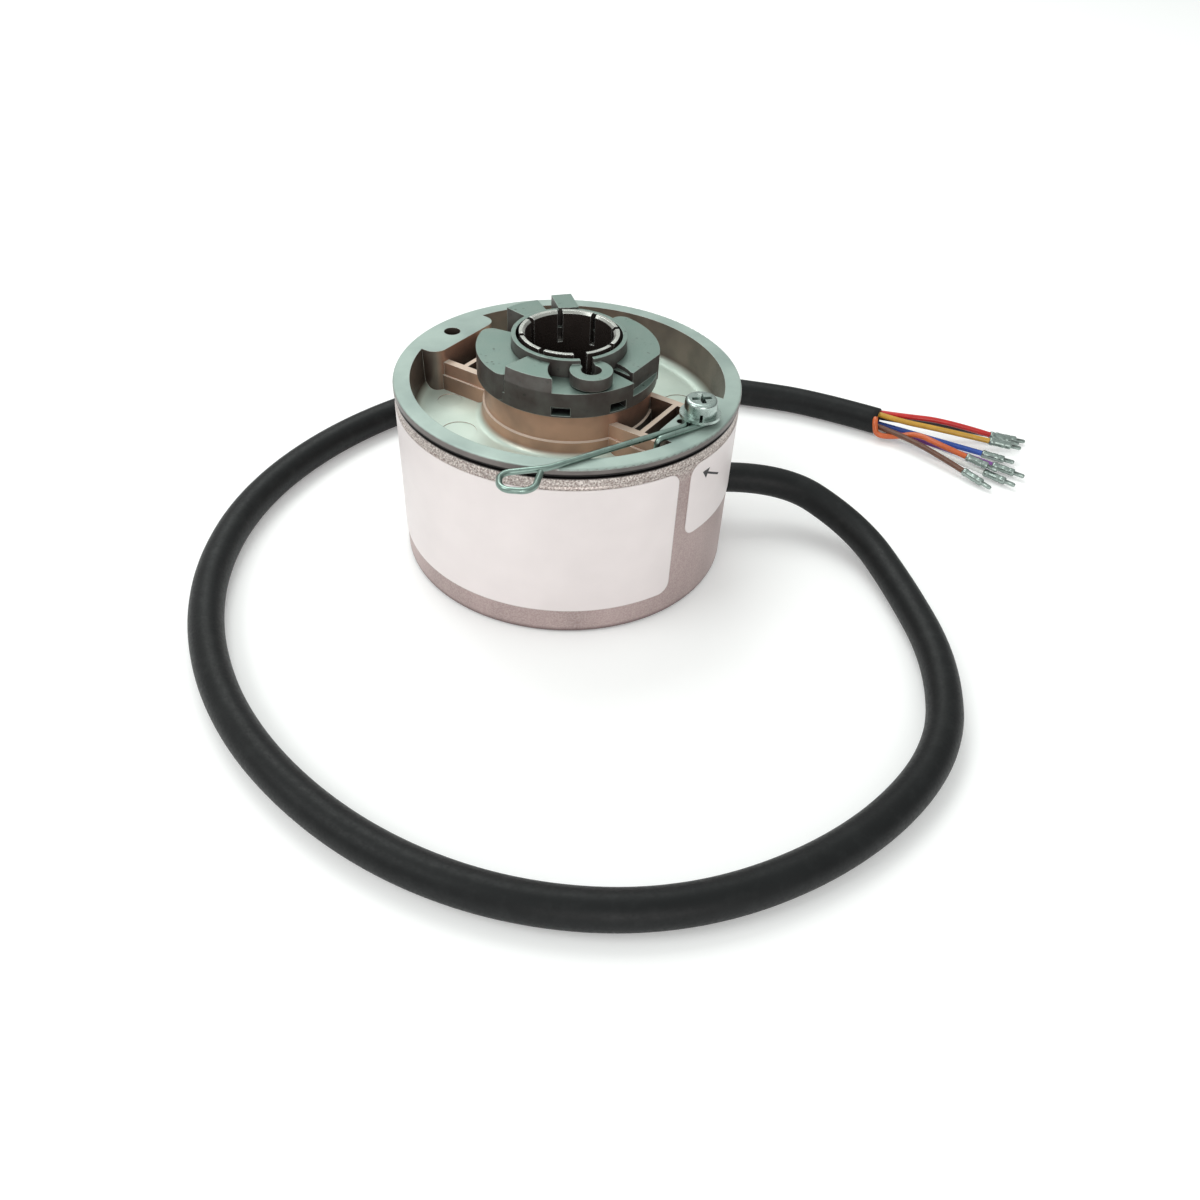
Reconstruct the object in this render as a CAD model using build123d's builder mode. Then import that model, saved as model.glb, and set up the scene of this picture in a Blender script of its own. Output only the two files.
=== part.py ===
from build123d import *
import os
from math import cos, pi, radians, sin, tan

# Hollow shaft rotary encoder with a flying lead. All lengths are in millimetres.
# The origin is the centre of the base, +Z points out of the mounting flange along the shaft,
# and azimuths are measured from +X towards +Y. The side with the long spring wire faces -Y.
os.makedirs("parts", exist_ok=True)

# Running and seating clearances
FIT_GAP = 0.02
RUN_GAP = 0.05
SAFE_GAP = 0.3

# Flange housing, a casting with an open recess round its bearing boss
BODY_R = 30.0
BODY_H = 33.6
LIP_T = 1.3
LIP_EDGE_R = 0.35
RIM_DRAFT = 0.3
RECESS_DEPTH = 7.6
RECESS_FILLET = 2.2
PLATE_T = 3.0
SPIGOT_WALL = 1.5
BOSS_WALL = 1.6
BOSS_STEP = 0.35
BOSS_STEP_Z = 2.9
BOSS_DROP = 0.2
BOSS_FILLET = 1.5
CARRIER_WALL = 2.0
CARRIER_TAIL = 0.4

# Lugs, webs and screw holes of the flange
LUG_AZ = -31.2
LUG_LENGTH = 7.7
LUG_HALF_W = 8.6
LUG_CORNER_R = 2.4
LUG_HOLE_INSET = 4.1
LUG_HOLE_R = 1.5
LUG_HOLE_DEPTH = 7.0
SIDE_HOLE_R = 0.7
SIDE_HOLE_DEPTH = 2.5
RIB_OFFSET = 6.1
RIB_T = 1.4
RIB_DROP = 2.3
RIB_LEDGE_W = 0.35
RIB_LEDGE_DROP = 4.7
CROSS_RIB_T = 0.9
EJECTOR_MARKS = ((-155.0, 20.1, 3.1), (175.0, 21.3, 2.2), (15.0, 20.6, 3.0))
EJECTOR_DEPTH = 0.12

# Rear cover can and its seal
COVER_STEP = 0.2
COVER_WALL = 1.4
COVER_FLOOR = 1.6
COVER_EDGE_R = 0.9
COVER_TOP_R = 0.3
COVER_GROOVE = 0.15
COVER_GROOVE_H = 0.5
COVER_GROOVE_DROP = 1.4
SEAL_T = 0.55
SEAL_SETBACK = 0.45

# Thin section ball bearings, shaft diameter 17, outside diameter 26, width 5
SEAT_R = 8.5
BEARING_R = 13.0
BEARING_W = 5.0
BALL_R = 1.2
BALL_PLAY = 0.08
BALL_COUNT = 11
RACE_GAP = 1.6
CAGE_T = 0.8
CAGE_H = 3.4
CAGE_PLAY = 0.12
SPACER_L = 5.0
SPACER_T = 1.1
SHOULDER_STEP = 0.8
PRELOAD_T = 0.5
SHIELD_T = 0.6
RETAINER_T = 1.0
RETAINER_REACH = 1.7
RETAINER_GROOVE = 0.5
RETAINER_MOUTH = 6.0

# Hollow shaft with collet fingers
BORE_R = 7.5
FINGER_R = 8.5
FINGER_PROUD = 0.4
FINGER_SLOT_W = 0.9
FINGER_SLOT_COUNT = 8
FINGER_SLOT_L = 5.6
BORE_CHAMFER = 0.38
SHOULDER_R = 9.4
SHOULDER_H = 1.2
SHAFT_FLOOR = 1.2
HUB_AZ = -69.5
SLOT_LAG = 5.0

# Omega shaped clamp ring round the fingers
RING_R = 9.8
RING_RELIEF_R = 9.05
RING_RELIEF_DEPTH = 3.0
RING_H = 7.0
RING_GAP = 2.2
LOOP_PCR = 12.0
LOOP_R = 3.5
LOOP_HOLE_R = 1.7
LOOP_DROP = 0.65
KEY_AZ = 94.0
KEY_LEAN = 14.0
KEY_W = 3.6
KEY_REACH = 14.6
KEY_RISE = 0.4

# Clamp collar that turns a few degrees on the clamp ring
COLLAR_BAND_R = 15.3
COLLAR_BAND_H = 1.9
LOBE_FOOT = 0.4
COLLAR_LIFT = 0.3
PLATE_LEVEL = 4.3
LOBE_LEVEL = 5.1
TAB_LEVEL = 6.6
LEFT_LOBE_R = 15.75
LEFT_LOBE_SPAN = (160.0, 231.0)
RIGHT_LOBE_R = 15.45
RIGHT_LOBE_SPAN = (-38.0, 58.0)
RIGHT_LOBE_FLAT = 13.85
LOBE_CORNER_R = 1.8
PLATE_SPAN = (-130.0, -43.0)
TAB_SPAN = (-130.0, -97.0)
TAB_TOP_R = 14.9
TAB_FOOT_R = 15.3
BACK_TAB_SPAN = (115.0, 139.0)
BACK_TAB_R = 15.4
LOOP_POCKET_R = 7.0
WINDOW_W = 3.1
WINDOW_H = 1.5
WINDOW_SILL = 0.3
WINDOW_DEPTH = 2.4
WINDOW_AZIMUTHS = (-91.5, -54.5)

# Disc, optics and electronics inside the can
HUB_R = 12.0
HUB_H = 2.4
HUB_DROP = 0.4
DISC_R = 16.8
DISC_T = 0.6
AIR_GAP = 0.5
BOARD_R = 20.5
BOARD_T = 1.6
SENSOR_H = 2.5
OPTICS_AZ = 150.0
OPTICS_W = 7.0
OPTICS_INNER = 13.2
POST_R = 1.5
POST_COUNT = 3
POST_AZ = 72.0
BOARD_SCREW_R = 0.8
BOARD_SCREW_HEAD_R = 1.4
BOARD_SCREW_HEAD_H = 1.2
BOARD_SCREW_L = 4.0
CONNECTOR_SIZE = (3.2, 6.0, 2.6)

# Lead: jacket, gland, inner clamp and the stripped cores
CABLE_R = 2.885
CABLE_AZ = 13.7
CABLE_Z = 9.5
EXIT_RUN = 11.5
GROMMET_R = 4.15
GROMMET_FLANGE_R = 5.2
GROMMET_FLANGE_T = 1.3
GROMMET_PROUD = 0.7
CLAMP_T = 1.5
CLAMP_W = 9.0
CLAMP_TOP = 1.2
LEAD_INSET = 4.5
CORE_R = 0.6
CORE_RING_R = 1.8
FERRULE_R = 0.8
FERRULE_L = 4.5
PIN_R = 0.45
PIN_L = 2.2

# Spring wire and its screw stack
WIRE_R = 0.5
HOOK_PLACE = (15.2, -21.0)
HOOK_DROP = 5.7
WRAP_LEAVE = 1.4
WRAP_JOIN = 3.8
ARM_OFFSET = 1.0
EYE_CORNERS = [(-1.3, -30.7), (-8.3, -32.8), (-7.9, -37.0), (-2.9, -37.0), (-2.2, -32.0)]
WIRE_RADII = [0.9, 1.9, 1.9, 1.7, 1.4, 6.0, 2.0, 2.0, 2.2]
SCREW_SHANK_R = 1.45
SCREW_SHANK_L = 6.6
SCREW_HEAD_R = 2.7
SCREW_HEAD_H = 1.6
SCREW_CROWN = 0.6
CROSS_W = 0.8
CROSS_FOOT_W = 0.45
CROSS_L = 3.3
CROSS_DEPTH = 1.0
CROSS_TURN = 12.0
FLAT_WASHER_R = 3.4
FLAT_WASHER_T = 0.5
SPRING_WASHER_R = 2.6
SPRING_WASHER_T = 0.9
SPRING_WASHER_CUT = 0.5

# Labels, bare adhesive film
LABEL_T = 0.12
LABEL_CORNER_R = 2.2
LABEL_DROP = 2.2
MAIN_LABEL_SPAN = (-202.0, -50.0)
MAIN_LABEL_FOOT = 5.0
ARROW_LABEL_SPAN = (-45.0, 1.0)
ARROW_LABEL_H = 14.0

# Heights and radii that follow from the values above
floor_z = BODY_H - RECESS_DEPTH
plate_z = floor_z - PLATE_T
lip_z = BODY_H - LIP_T
cover_top = lip_z - SEAL_T
cover_r = BODY_R - COVER_STEP
cover_inner_r = cover_r - COVER_WALL
spigot_r = cover_inner_r - RUN_GAP
rim_inner_r = spigot_r - SPIGOT_WALL
boss_top = BODY_H - BOSS_DROP
boss_r = BEARING_R + BOSS_WALL
lug_inner_r = BODY_R - LUG_LENGTH
lug_hole_pcr = BODY_R - LUG_HOLE_INSET
cross_rib_r = (boss_r + lug_inner_r) / 2
front_bearing_top = boss_top - SHIELD_T
front_bearing_z = front_bearing_top - BEARING_W
rear_bearing_top = front_bearing_z - SPACER_L
rear_bearing_z = rear_bearing_top - BEARING_W
carrier_z = rear_bearing_z - CARRIER_TAIL
carrier_r = BEARING_R + CARRIER_WALL
ball_pitch_r = (SEAT_R + BEARING_R) / 2
retainer_z = rear_bearing_z - RETAINER_T
hub_top = retainer_z - HUB_DROP
disc_top = hub_top - HUB_H
disc_z = disc_top - DISC_T
board_top = disc_z - AIR_GAP - SENSOR_H
board_z = board_top - BOARD_T
shaft_z = disc_z - SHAFT_FLOOR
post_pcr = DISC_R + 2 * SAFE_GAP + POST_R
lead_end_r = cover_inner_r - LEAD_INSET
ring_z = front_bearing_top + SHOULDER_H
ring_top = ring_z + RING_H
finger_top = ring_top + FINGER_PROUD
loop_top = ring_top - LOOP_DROP
collar_z = boss_top + COLLAR_LIFT
plate_level_z = collar_z + PLATE_LEVEL
loop_z = plate_level_z + SAFE_GAP
key_z = collar_z + LOBE_LEVEL + SAFE_GAP
collar_bore_r = RING_R + RUN_GAP
wire_z = BODY_H + WIRE_R
screw_x = lug_hole_pcr * cos(radians(LUG_AZ))
screw_y = lug_hole_pcr * sin(radians(LUG_AZ))
label_r = cover_r + FIT_GAP
label_top = cover_top - LABEL_DROP


def ring_sector(inner_r, outer_r, start, end, corner_r=0):
    """Flat sector of a ring between two azimuths, with its outer corners rounded."""
    with BuildSketch() as sector:
        with BuildLine():
            outer = CenterArc((0, 0), outer_r, start, end - start)
            inner = CenterArc((0, 0), inner_r, start, end - start)
            Line(outer @ 0, inner @ 0)
            Line(outer @ 1, inner @ 1)
        make_face()
        if corner_r:
            fillet(sector.vertices().sort_by_distance((0, 0))[-2:], corner_r)
    return sector.sketch


def radial_plane(azimuth, z, r=0.0):
    """Plane whose normal points outwards at an azimuth, with its local y upwards."""
    a = radians(azimuth)
    return Plane(origin=(r * cos(a), r * sin(a), z), x_dir=(-sin(a), cos(a), 0), z_dir=(cos(a), sin(a), 0))


def turned_plane(azimuth, z):
    """Horizontal plane whose local x points outwards at an azimuth."""
    return Plane.XY.offset(z).rotated((0, 0, azimuth))


def section_plane(azimuth):
    """Upright half plane through the shaft axis, local x outwards at an azimuth and local y up."""
    a = radians(azimuth)
    return Plane(origin=(0, 0, 0), x_dir=(cos(a), sin(a), 0), z_dir=(sin(a), -cos(a), 0))


def plain_ring(inner_r, outer_r, z, height):
    """Flat ring or sleeve about the shaft axis."""
    with BuildPart() as ring:
        with BuildSketch(Plane.XY.offset(z)):
            Circle(outer_r)
            Circle(inner_r, mode=Mode.SUBTRACT)
        extrude(amount=height)
    return ring.part


def bearing_race(inner_r, outer_r, z):
    """Bearing race with a ball groove on the side that faces the balls."""
    with BuildPart() as race:
        with BuildSketch(Plane.XZ):
            with Locations(((inner_r + outer_r) / 2, z + BEARING_W / 2)):
                Rectangle(outer_r - inner_r, BEARING_W)
            with Locations((ball_pitch_r, z + BEARING_W / 2)):
                Circle(BALL_R + BALL_PLAY, mode=Mode.SUBTRACT)
        revolve(axis=Axis.Z)
    return race.part


def ball_row(z):
    """The balls of one bearing, as separate solids."""
    with BuildPart() as balls:
        with Locations((0, 0, z + BEARING_W / 2)):
            with PolarLocations(ball_pitch_r, BALL_COUNT):
                Sphere(BALL_R)
    return balls.part


def ball_cage(z):
    """Ribbon cage with one round pocket for each ball."""
    with BuildPart() as cage:
        with BuildSketch(Plane.XY.offset(z + (BEARING_W - CAGE_H) / 2)):
            Circle(ball_pitch_r + CAGE_T / 2)
            Circle(ball_pitch_r - CAGE_T / 2, mode=Mode.SUBTRACT)
        extrude(amount=CAGE_H)
        for index in range(BALL_COUNT):
            with BuildSketch(radial_plane(360 * index / BALL_COUNT, z + BEARING_W / 2)):
                Circle(BALL_R + CAGE_PLAY)
            extrude(amount=BEARING_R, mode=Mode.SUBTRACT)
    return cage.part


def film_label(span, height):
    """Adhesive film that hangs down the can from the labels' top line, with four rounded corners."""
    with BuildPart() as film:
        with BuildSketch(Plane.XY.offset(label_top)):
            add(ring_sector(label_r, label_r + LABEL_T, *span))
        extrude(amount=-height)
        corners = film.edges().filter_by(lambda e: abs(e.length - LABEL_T) < LABEL_T / 4)
        fillet(corners, LABEL_CORNER_R)
    return film.part


def turn_radii(points):
    """Largest even arc at each corner of a route, from its shorter run and its turn."""
    radii = []
    for before, here, after in zip(points, points[1:], points[2:]):
        run_in = Vector(*here) - Vector(*before)
        run_out = Vector(*after) - Vector(*here)
        turn = radians(run_in.get_angle(run_out))
        radii.append(0.45 * min(run_in.length, run_out.length) / tan(turn / 2))
    return radii


def route_tube(points, radii, tube_r, label):
    """Round tube along straight runs joined by tangent arcs, with its length printed."""
    with BuildPart() as tube:
        with BuildLine() as path:
            FilletPolyline(*points, radius=radii)
        centre_line = path.wire()
        with BuildSketch(Plane(origin=centre_line @ 0, z_dir=centre_line % 0)):
            Circle(tube_r)
        sweep(path=centre_line)
    expected = pi * tube_r ** 2 * centre_line.length
    print(f"{label}: length {centre_line.length:.1f}, volume ratio {tube.part.volume / expected:.4f}")
    return tube.part


# Flange housing: revolved section with rim, recess floor, boss and bearing carrier
with BuildPart() as flange_housing:
    with BuildSketch(Plane.XZ):
        with BuildLine():
            Polyline(
                (BEARING_R, boss_top),
                (BEARING_R, front_bearing_z),
                (BEARING_R - SHOULDER_STEP, front_bearing_z),
                (BEARING_R - SHOULDER_STEP, rear_bearing_top + PRELOAD_T),
                (BEARING_R, rear_bearing_top + PRELOAD_T),
                (BEARING_R, carrier_z),
                (carrier_r, carrier_z),
                (carrier_r, plate_z),
                (spigot_r, plate_z),
                (spigot_r, lip_z),
                (BODY_R, lip_z),
                (BODY_R, BODY_H),
                (rim_inner_r + RIM_DRAFT, BODY_H),
                (rim_inner_r, floor_z),
                (boss_r + BOSS_STEP, floor_z),
                (boss_r + BOSS_STEP, floor_z + BOSS_STEP_Z - BOSS_STEP / 2),
                (boss_r, floor_z + BOSS_STEP_Z),
                (boss_r, boss_top),
                close=True,
            )
        make_face()
        fillet(vertices().sort_by_distance((rim_inner_r, floor_z))[0], RECESS_FILLET)
        fillet(vertices().sort_by_distance((boss_r + BOSS_STEP, floor_z))[0], BOSS_FILLET)
        fillet(vertices().sort_by_distance((BODY_R, BODY_H))[0], LIP_EDGE_R)
    revolve(axis=Axis.Z)
    with BuildSketch(turned_plane(LUG_AZ, floor_z)):
        with PolarLocations((lug_inner_r + BODY_R) / 2 + LUG_CORNER_R, 2):
            RectangleRounded(LUG_LENGTH + 2 * LUG_CORNER_R, 2 * LUG_HALF_W, LUG_CORNER_R)
        Circle(rim_inner_r + SPIGOT_WALL / 2, mode=Mode.INTERSECT)
    extrude(amount=RECESS_DEPTH)
    with BuildSketch(turned_plane(LUG_AZ, floor_z)):
        with Locations((0, RIB_OFFSET), (0, -RIB_OFFSET)):
            Rectangle(2 * lug_inner_r + RIB_T, RIB_T)
        with Locations((cross_rib_r, 0), (-cross_rib_r, 0)):
            Rectangle(CROSS_RIB_T, 2 * RIB_OFFSET)
        Circle(boss_r, mode=Mode.SUBTRACT)
    extrude(amount=RECESS_DEPTH - RIB_DROP)
    with BuildSketch(turned_plane(LUG_AZ, floor_z)):
        with Locations((0, -RIB_OFFSET - RIB_T / 2)):
            Rectangle(2 * lug_inner_r + RIB_T, 2 * RIB_LEDGE_W)
        Circle(boss_r, mode=Mode.SUBTRACT)
    extrude(amount=RECESS_DEPTH - RIB_LEDGE_DROP)
    for azimuth, centre_r, mark_r in EJECTOR_MARKS:
        with BuildSketch(turned_plane(azimuth, floor_z)):
            with Locations((centre_r, 0)):
                Circle(mark_r)
        extrude(amount=-EJECTOR_DEPTH, mode=Mode.SUBTRACT)
    with BuildSketch(turned_plane(LUG_AZ, BODY_H)):
        with PolarLocations(lug_hole_pcr, 2):
            Circle(LUG_HOLE_R)
    extrude(amount=-LUG_HOLE_DEPTH, mode=Mode.SUBTRACT)
    with BuildSketch(turned_plane(LUG_AZ, BODY_H)):
        with Locations((lug_inner_r + 2 * SIDE_HOLE_R, -SIDE_HOLE_R - LUG_HOLE_R)):
            Circle(SIDE_HOLE_R)
    extrude(amount=-SIDE_HOLE_DEPTH, mode=Mode.SUBTRACT)
    with BuildSketch(Plane.XY.offset(board_top)):
        with PolarLocations(post_pcr, POST_COUNT, start_angle=POST_AZ):
            Circle(POST_R)
    extrude(amount=plate_z - board_top)
    with BuildSketch(Plane.XY.offset(board_top)):
        with PolarLocations(post_pcr, POST_COUNT, start_angle=POST_AZ):
            Circle(BOARD_SCREW_R + FIT_GAP)
    extrude(amount=BOARD_SCREW_L, mode=Mode.SUBTRACT)
flange_housing.part.label = "flange_housing"

# Rear cover: a can with a fine groove below its mouth and one hole for the cable gland
groove_z = cover_top - COVER_GROOVE_DROP
with BuildPart() as rear_cover:
    with BuildSketch(Plane.XZ):
        with BuildLine():
            Polyline(
                (0, 0),
                (cover_r, 0),
                (cover_r, groove_z - COVER_GROOVE_H),
                (cover_r - COVER_GROOVE, groove_z - COVER_GROOVE_H / 2),
                (cover_r, groove_z),
                (cover_r, cover_top),
                (cover_inner_r, cover_top),
                (cover_inner_r, COVER_FLOOR),
                (0, COVER_FLOOR),
                close=True,
            )
        make_face()
        fillet(vertices().sort_by_distance((cover_r, 0))[0], COVER_EDGE_R)
        fillet(vertices().sort_by_distance((cover_r, cover_top))[0], COVER_TOP_R)
    revolve(axis=Axis.Z)
    with BuildSketch(radial_plane(CABLE_AZ, CABLE_Z, lead_end_r)):
        Circle(GROMMET_R + RUN_GAP)
    extrude(amount=BODY_R, mode=Mode.SUBTRACT)
rear_cover.part.label = "rear_cover"

# Flat seal in the joint between the can and the flange lip
with BuildPart() as cover_seal:
    add(plain_ring(spigot_r + FIT_GAP, cover_r - SEAL_SETBACK, cover_top, SEAL_T))
cover_seal.part.label = "cover_seal"

# Hollow shaft: closed tube, bearing seats, shoulder, retaining groove and slotted fingers
with BuildPart() as hollow_shaft:
    with BuildSketch(Plane.XZ):
        with BuildLine():
            Polyline(
                (0, shaft_z),
                (SEAT_R, shaft_z),
                (SEAT_R, retainer_z - FIT_GAP),
                (SEAT_R - RETAINER_GROOVE, retainer_z - FIT_GAP),
                (SEAT_R - RETAINER_GROOVE, rear_bearing_z),
                (SEAT_R, rear_bearing_z),
                (SEAT_R, front_bearing_top),
                (SHOULDER_R, front_bearing_top),
                (SHOULDER_R, ring_z),
                (FINGER_R, ring_z),
                (FINGER_R, finger_top),
                (BORE_R + BORE_CHAMFER, finger_top),
                (BORE_R, finger_top - BORE_CHAMFER),
                (BORE_R, shaft_z + SHAFT_FLOOR),
                (0, shaft_z + SHAFT_FLOOR),
                close=True,
            )
        make_face()
    revolve(axis=Axis.Z)
    with BuildSketch(turned_plane(HUB_AZ - SLOT_LAG, finger_top - FINGER_SLOT_L)):
        with PolarLocations((BORE_R + FINGER_R) / 2, FINGER_SLOT_COUNT):
            Rectangle(2 * (FINGER_R - BORE_R) + FINGER_SLOT_W, FINGER_SLOT_W)
        with Locations(((BORE_R + FINGER_R) / 2, 0)):
            Rectangle(2 * (FINGER_R - BORE_R) + FINGER_SLOT_W, RING_GAP)
    extrude(amount=FINGER_SLOT_L, mode=Mode.SUBTRACT)
hollow_shaft.part.label = "hollow_shaft"

# Omega clamp ring: split ring, round eye in line with the split and a key block opposite it
with BuildPart() as clamp_ring:
    with BuildSketch(Plane.XY.offset(ring_z)):
        Circle(RING_R)
    extrude(amount=RING_H)
    with BuildSketch(turned_plane(HUB_AZ, loop_z)):
        with Locations((LOOP_PCR, 0)):
            Circle(LOOP_R)
    extrude(amount=loop_top - loop_z)
    with BuildSketch(turned_plane(KEY_AZ, key_z)):
        with Locations(Location((RING_RELIEF_R, 0, 0), (0, 0, KEY_LEAN))):
            Rectangle(KEY_REACH - RING_RELIEF_R, KEY_W, align=(Align.MIN, Align.CENTER))
    extrude(amount=ring_top + KEY_RISE - key_z)
    with BuildSketch(Plane.XY.offset(ring_z)):
        Circle(FINGER_R + RUN_GAP)
    extrude(amount=RING_H + KEY_RISE, mode=Mode.SUBTRACT)
    with BuildSketch(Plane.XY.offset(ring_top - RING_RELIEF_DEPTH)):
        Circle(RING_RELIEF_R)
    extrude(amount=RING_RELIEF_DEPTH + KEY_RISE, mode=Mode.SUBTRACT)
    with BuildSketch(turned_plane(HUB_AZ, ring_z)):
        with Locations((LOOP_PCR, 0)):
            Circle(LOOP_HOLE_R)
        with Locations((LOOP_PCR / 2, 0)):
            Rectangle(LOOP_PCR, RING_GAP)
    extrude(amount=RING_H, mode=Mode.SUBTRACT)
clamp_ring.part.label = "clamp_ring"

# Clamp collar: base band, front plate, two lobes, two raised tabs, a pocket for the eye and two windows
tab_z = collar_z + TAB_LEVEL
with BuildPart() as clamp_collar:
    with BuildSketch(Plane.XY.offset(collar_z)):
        Circle(COLLAR_BAND_R)
    extrude(amount=COLLAR_BAND_H)
    with BuildSketch(Plane.XY.offset(collar_z)):
        add(ring_sector(RING_R, COLLAR_BAND_R, *PLATE_SPAN))
    extrude(amount=PLATE_LEVEL)
    with BuildSketch(Plane.XY.offset(collar_z + LOBE_FOOT)):
        add(ring_sector(RING_R, LEFT_LOBE_R, *LEFT_LOBE_SPAN, LOBE_CORNER_R))
    extrude(amount=LOBE_LEVEL - LOBE_FOOT)
    with BuildSketch(Plane.XY.offset(collar_z + LOBE_FOOT)):
        add(ring_sector(RING_R, RIGHT_LOBE_R, *RIGHT_LOBE_SPAN, LOBE_CORNER_R))
        with Locations(Location((0, 0, 0), (0, 0, LUG_AZ))):
            with Locations((RIGHT_LOBE_FLAT, 0)):
                Rectangle(BODY_R, BODY_R, align=(Align.MIN, Align.CENTER), mode=Mode.SUBTRACT)
    extrude(amount=LOBE_LEVEL - LOBE_FOOT)
    for span, top_r, foot_r in ((TAB_SPAN, TAB_TOP_R, TAB_FOOT_R), (BACK_TAB_SPAN, BACK_TAB_R, BACK_TAB_R)):
        with BuildSketch(section_plane(span[0])):
            with BuildLine():
                Polyline(
                    (RING_R, collar_z),
                    (foot_r, collar_z),
                    (foot_r, plate_level_z),
                    (top_r, tab_z),
                    (RING_R, tab_z),
                    close=True,
                )
            make_face()
        revolve(axis=Axis.Z, revolution_arc=span[1] - span[0])
    with BuildSketch(Plane.XY.offset(collar_z)):
        Circle(collar_bore_r)
    extrude(amount=TAB_LEVEL, mode=Mode.SUBTRACT)
    with BuildSketch(turned_plane(HUB_AZ, plate_level_z)):
        with Locations((LOOP_PCR, 0)):
            Circle(LOOP_POCKET_R)
    extrude(amount=TAB_LEVEL, mode=Mode.SUBTRACT)
    for azimuth in WINDOW_AZIMUTHS:
        sill = collar_z + WINDOW_SILL + WINDOW_H / 2
        with BuildSketch(radial_plane(azimuth, sill, COLLAR_BAND_R - WINDOW_DEPTH)):
            Rectangle(WINDOW_W, WINDOW_H)
        extrude(amount=2 * WINDOW_DEPTH, mode=Mode.SUBTRACT)
clamp_collar.part.label = "clamp_collar"

# Bearings: races, balls and cages, front and rear
inner_race_r = ball_pitch_r - RACE_GAP / 2
outer_race_r = ball_pitch_r + RACE_GAP / 2
with BuildPart() as front_inner_race:
    add(bearing_race(SEAT_R + FIT_GAP, inner_race_r, front_bearing_z))
front_inner_race.part.label = "front_inner_race"

with BuildPart() as front_outer_race:
    add(bearing_race(outer_race_r, BEARING_R - FIT_GAP, front_bearing_z))
front_outer_race.part.label = "front_outer_race"

with BuildPart() as front_balls:
    add(ball_row(front_bearing_z))
front_balls.part.label = "front_balls"

with BuildPart() as front_cage:
    add(ball_cage(front_bearing_z))
front_cage.part.label = "front_cage"

with BuildPart() as rear_inner_race:
    add(bearing_race(SEAT_R + FIT_GAP, inner_race_r, rear_bearing_z))
rear_inner_race.part.label = "rear_inner_race"

with BuildPart() as rear_outer_race:
    add(bearing_race(outer_race_r, BEARING_R - FIT_GAP, rear_bearing_z))
rear_outer_race.part.label = "rear_outer_race"

with BuildPart() as rear_balls:
    add(ball_row(rear_bearing_z))
rear_balls.part.label = "rear_balls"

with BuildPart() as rear_cage:
    add(ball_cage(rear_bearing_z))
rear_cage.part.label = "rear_cage"

# Sleeve between the inner races, preload washer on the rear outer race, shield over the front one
with BuildPart() as bearing_spacer:
    add(plain_ring(SEAT_R + FIT_GAP, SEAT_R + SPACER_T, rear_bearing_top, SPACER_L))
bearing_spacer.part.label = "bearing_spacer"

with BuildPart() as preload_washer:
    add(plain_ring(outer_race_r + RUN_GAP, BEARING_R - RUN_GAP, rear_bearing_top, PRELOAD_T))
preload_washer.part.label = "preload_washer"

with BuildPart() as bearing_shield:
    add(plain_ring(SHOULDER_R + SAFE_GAP, BEARING_R - FIT_GAP, front_bearing_top, SHIELD_T))
bearing_shield.part.label = "bearing_shield"

# Open retaining ring in the groove below the rear bearing
with BuildPart() as retaining_ring:
    with BuildSketch(turned_plane(HUB_AZ, retainer_z)):
        Circle(SEAT_R - RETAINER_GROOVE + RETAINER_REACH)
        Circle(SEAT_R - RETAINER_GROOVE + FIT_GAP, mode=Mode.SUBTRACT)
        with Locations((SEAT_R, 0)):
            Rectangle(2 * RETAINER_REACH + 2 * RETAINER_GROOVE, RETAINER_MOUTH, mode=Mode.SUBTRACT)
    extrude(amount=RETAINER_T)
retaining_ring.part.label = "retaining_ring"

# Code disc and the hub that holds it on the shaft
with BuildPart() as disc_hub:
    add(plain_ring(SEAT_R + FIT_GAP, HUB_R, disc_top, HUB_H))
disc_hub.part.label = "disc_hub"

with BuildPart() as code_disc:
    add(plain_ring(SEAT_R + FIT_GAP, DISC_R, disc_z, DISC_T))
code_disc.part.label = "code_disc"

# Light source above the disc, hung from the bearing carrier, and the sensor below it on the board
optics_r = (OPTICS_INNER + DISC_R) / 2
with BuildPart() as light_source:
    with BuildSketch(turned_plane(OPTICS_AZ, disc_top + AIR_GAP)):
        with Locations((optics_r, 0)):
            RectangleRounded(DISC_R - OPTICS_INNER, OPTICS_W, AIR_GAP)
    extrude(amount=carrier_z - disc_top - AIR_GAP)
light_source.part.label = "light_source"

with BuildPart() as sensor_block:
    with BuildSketch(turned_plane(OPTICS_AZ, board_top)):
        with Locations((optics_r, 0)):
            Rectangle(DISC_R - OPTICS_INNER, OPTICS_W)
    extrude(amount=SENSOR_H)
sensor_block.part.label = "sensor_block"

with BuildPart() as circuit_board:
    with BuildSketch(Plane.XY.offset(board_z)):
        Circle(BOARD_R)
        with PolarLocations(post_pcr, POST_COUNT, start_angle=POST_AZ):
            Circle(BOARD_SCREW_R + FIT_GAP, mode=Mode.SUBTRACT)
    extrude(amount=BOARD_T)
circuit_board.part.label = "circuit_board"

with BuildPart() as board_screws:
    with BuildSketch(Plane.XY.offset(board_z - BOARD_SCREW_HEAD_H)):
        with PolarLocations(post_pcr, POST_COUNT, start_angle=POST_AZ):
            Circle(BOARD_SCREW_HEAD_R)
    extrude(amount=BOARD_SCREW_HEAD_H)
    with BuildSketch(Plane.XY.offset(board_z)):
        with PolarLocations(post_pcr, POST_COUNT, start_angle=POST_AZ):
            Circle(BOARD_SCREW_R)
    extrude(amount=BOARD_T + BOARD_SCREW_L - RUN_GAP)
board_screws.part.label = "board_screws"

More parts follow.
